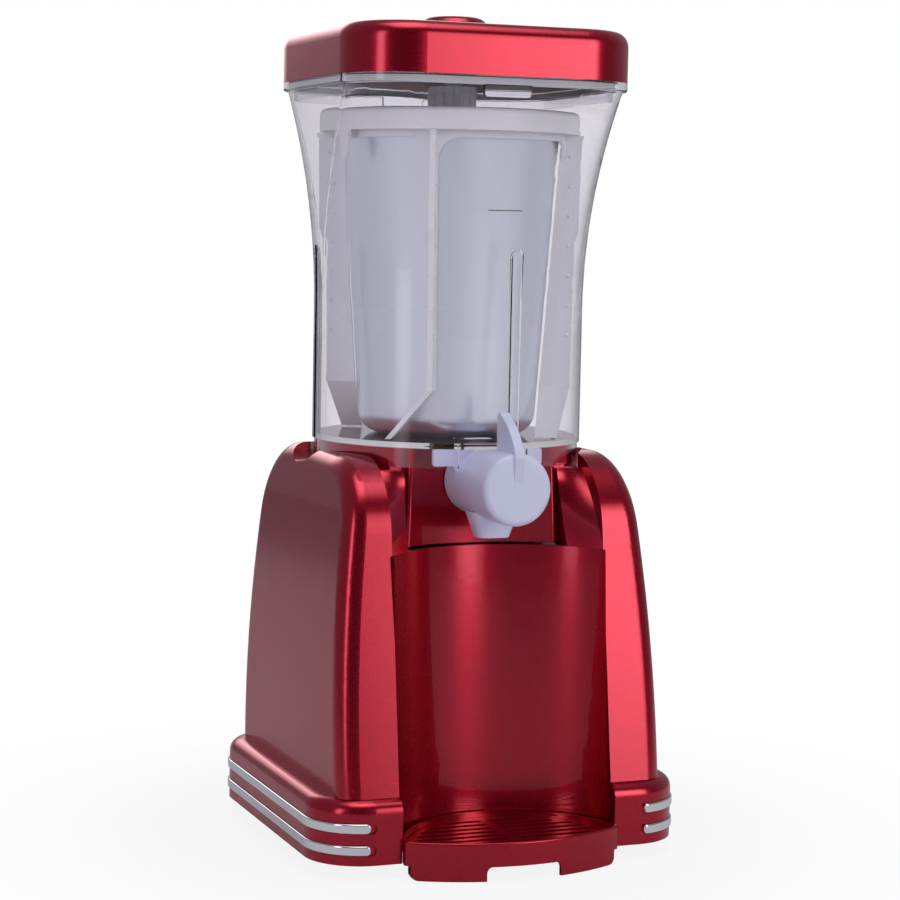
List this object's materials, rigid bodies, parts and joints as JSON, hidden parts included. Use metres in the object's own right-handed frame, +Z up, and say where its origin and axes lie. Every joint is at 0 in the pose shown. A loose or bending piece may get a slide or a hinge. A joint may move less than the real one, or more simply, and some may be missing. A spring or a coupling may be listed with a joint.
{
  "type": "slush machine",
  "caption": "Countertop slush machine with a clear container, a lift-out ice canister inside a turning scraper cage, a turn tap and a pull-out drip tray.",
  "frame": {"origin": "Centre of the footprint on the table, between the front of the drip tray and the back of the chrome stripes.", "axes": "+Z up, -Y the front with the tap, +X the right-hand side seen from the front."},
  "size_m": [0.2072, 0.2138, 0.444],
  "materials": {
    "red_gloss": "metallic red gloss",
    "chrome_trim": "bright",
    "clear_plastic": "clear",
    "canister_metal": "satin",
    "cage_white": "soft gloss",
    "tap_white": "gloss",
    "black_plastic": "fine grain",
    "gear_plastic": "natural",
    "steel": "turned",
    "rubber": "matt",
    "silicone": "translucent matt",
    "bronze": "sintered"
  },
  "bodies": {
    "base": {"plinth": "red_gloss", "left_cheek": "red_gloss", "right_cheek": "red_gloss", "alcove_panel": "red_gloss", "stripe_left_lower": "chrome_trim", "stripe_left_upper": "chrome_trim", "stripe_right_lower": "chrome_trim", "stripe_right_upper": "chrome_trim", "base_plate": "black_plastic", "rubber_feet": "rubber", "base_screws": "steel", "cheek_screws": "steel", "head_shell": "red_gloss", "rear_panel": "red_gloss", "rear_screws": "steel", "switch_bezel": "black_plastic", "cord_bush": "rubber", "gearbox_housing": "black_plastic", "gearbox_lid": "black_plastic", "gearbox_screws": "steel", "shaft_bushes": "bronze", "wheel_pin": "steel", "motor_can": "steel", "motor_screws": "steel"},
    "rocker": {"switch_rocker": "black_plastic"},
    "tray": {"drip_tray": "red_gloss"},
    "grille": {"tray_grille": "red_gloss"},
    "bowl": {"container": "clear_plastic", "outlet_duct": "clear_plastic", "floor_bush": "bronze", "shaft_seal": "silicone", "tap_body": "tap_white"},
    "tap": {"tap_knob": "tap_white", "tap_plug": "tap_white"},
    "shaft": {"spindle": "steel", "spindle_coupling": "gear_plastic", "scraper_cage": "cage_white"},
    "output": {"output_gear": "gear_plastic", "output_shaft": "steel", "drive_coupling": "gear_plastic"},
    "wheel": {"wheel_gear": "gear_plastic"},
    "pinion": {"motor_pinion": "gear_plastic", "motor_shaft": "steel"},
    "lid": {"lid_shell": "red_gloss", "lid_liner": "clear_plastic", "lid_gasket": "silicone"},
    "cover": {"cage_cover": "cage_white", "cage_hub": "clear_plastic"},
    "canister": {"ice_canister": "canister_metal"},
    "cap": {"canister_cap": "cage_white", "cap_seal": "silicone"}
  },
  "joints": [
    {"name": "rocker_tilt", "type": "hinge", "parent": "base", "child": "rocker", "pos_m": [-0.032, 0.09778, 0.062], "axis": [-1, 0, 0], "range_deg": [0, 12]},
    {"name": "tray_slide", "type": "slide", "parent": "base", "child": "tray", "axis": [0, -1, 0], "range_m": [0, 0.12]},
    {"name": "grille_lift", "type": "slide", "parent": "tray", "child": "grille", "axis": [0, 0, 1], "range_m": [0, 0.06]},
    {"name": "bowl_lift", "type": "slide", "parent": "base", "child": "bowl", "axis": [0, 0, 1], "range_m": [0, 0.06]},
    {"name": "tap_turn", "type": "hinge", "parent": "bowl", "child": "tap", "pos_m": [0, -0.062, 0.1976], "axis": [0, 1, 0], "range_deg": [0, 90]},
    {"name": "shaft_spin", "type": "hinge", "parent": "bowl", "child": "shaft", "pos_m": [0, 0.018, 0.3], "axis": [0, 0, 1], "continuous": true},
    {"name": "output_spin", "type": "hinge", "parent": "base", "child": "output", "pos_m": [0, 0.018, 0.17], "axis": [0, 0, 1], "continuous": true},
    {"name": "wheel_spin", "type": "hinge", "parent": "base", "child": "wheel", "pos_m": [0, 0.053, 0.17], "axis": [0, 0, 1], "continuous": true},
    {"name": "pinion_spin", "type": "hinge", "parent": "base", "child": "pinion", "pos_m": [-0.02649, 0.06708, 0.16], "axis": [0, 0, 1], "continuous": true},
    {"name": "lid_lift", "type": "slide", "parent": "bowl", "child": "lid", "axis": [0, 0, 1], "range_m": [0, 0.3]},
    {"name": "cover_lift", "type": "slide", "parent": "shaft", "child": "cover", "axis": [0, 0, 1], "range_m": [0, 0.26]},
    {"name": "canister_lift", "type": "slide", "parent": "bowl", "child": "canister", "axis": [0, 0, 1], "range_m": [0, 0.195]},
    {"name": "cap_lift", "type": "slide", "parent": "canister", "child": "cap", "axis": [0, 0, 1], "range_m": [0, 0.035]}
  ],
  "couplings": [
    {"joint": "output_spin", "follows": "shaft_spin", "ratio": 1},
    {"joint": "wheel_spin", "follows": "shaft_spin", "ratio": -4},
    {"joint": "pinion_spin", "follows": "shaft_spin", "ratio": 16},
    {"joint": "cover_lift", "follows": "lid_lift", "ratio": 0.86667},
    {"joint": "canister_lift", "follows": "lid_lift", "ratio": 0.65},
    {"joint": "cap_lift", "follows": "lid_lift", "ratio": 0.11667}
  ]
}
